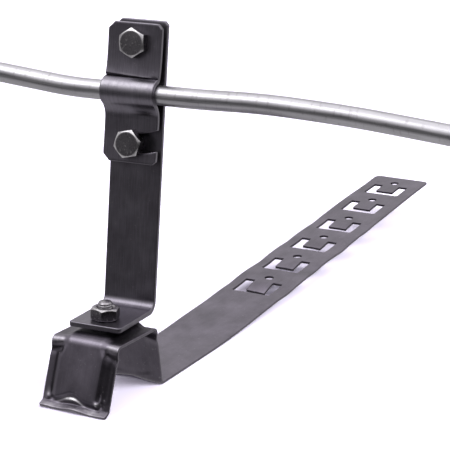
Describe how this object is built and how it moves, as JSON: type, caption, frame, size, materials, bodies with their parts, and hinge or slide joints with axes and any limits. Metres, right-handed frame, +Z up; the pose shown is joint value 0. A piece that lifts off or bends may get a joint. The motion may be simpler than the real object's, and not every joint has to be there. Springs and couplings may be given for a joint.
{
  "type": "roof tile conductor bracket",
  "caption": "Bent-strip bracket that hooks on a roof tile and carries a swivelling upright, whose bolted clamp holds a round bar.",
  "frame": {"origin": "centre of the overall box, on the plane that the bracket stands on", "axes": "+Z up, +Y back along the bracket's strip, +X to the right, about along the bar"},
  "size_m": [0.47, 0.3384, 0.1449],
  "materials": {
    "strip_steel": "dark oiled mill finish with rolling lines",
    "plate_steel": "dark oiled plate",
    "fastener_steel": "blackened, worn bright on its edges",
    "bar_steel": "drawn, with fine lengthwise lines and scuffs"
  },
  "bodies": {
    "bracket": {"base_bracket": "strip_steel", "base_bolt": "fastener_steel", "swivel_washer": "fastener_steel"},
    "upright": {"upright": "plate_steel", "upper_lock_washer": "fastener_steel", "lower_lock_washer": "fastener_steel", "upper_nut": "fastener_steel", "lower_nut": "fastener_steel"},
    "base_nut": {"base_nut": "fastener_steel"},
    "clamp_plate": {"clamp_plate": "plate_steel"},
    "upper_bolt": {"upper_bolt": "fastener_steel"},
    "lower_bolt": {"lower_bolt": "fastener_steel"},
    "bar": {"round_bar": "bar_steel"}
  },
  "joints": [
    {"name": "upright_swivel", "type": "hinge", "parent": "bracket", "child": "upright", "pos_m": [0.00151, -0.14485, 0.0279], "axis": [0, 0.0331, 0.9995], "continuous": true},
    {"name": "base_nut_turn", "type": "hinge", "parent": "bracket", "child": "base_nut", "pos_m": [0.00151, -0.14485, 0.0279], "axis": [0, 0.0331, 0.9995], "range_deg": [0, 2520]},
    {"name": "clamp_open", "type": "slide", "parent": "upright", "child": "clamp_plate", "axis": [0.0678, -0.9914, 0.1124], "range_m": [0, 0.006]},
    {"name": "upper_bolt_turn", "type": "hinge", "parent": "clamp_plate", "child": "upper_bolt", "pos_m": [-0.00046, -0.11232, 0.13612], "axis": [0.0678, -0.9914, 0.1124], "range_deg": [0, 2160]},
    {"name": "lower_bolt_turn", "type": "hinge", "parent": "clamp_plate", "child": "lower_bolt", "pos_m": [-0.00025, -0.11676, 0.09677], "axis": [0.0678, -0.9914, 0.1124], "range_deg": [0, 2160]},
    {"name": "bar_slide", "type": "slide", "parent": "upright", "child": "bar", "axis": [0.9977, 0.068, -0.0023], "range_m": [-0.008, 0.008]}
  ],
  "couplings": [
    {"joint": "upper_bolt_turn", "follows": "clamp_open", "rad_per_m": 6283.2},
    {"joint": "lower_bolt_turn", "follows": "clamp_open", "rad_per_m": 6283.2}
  ]
}
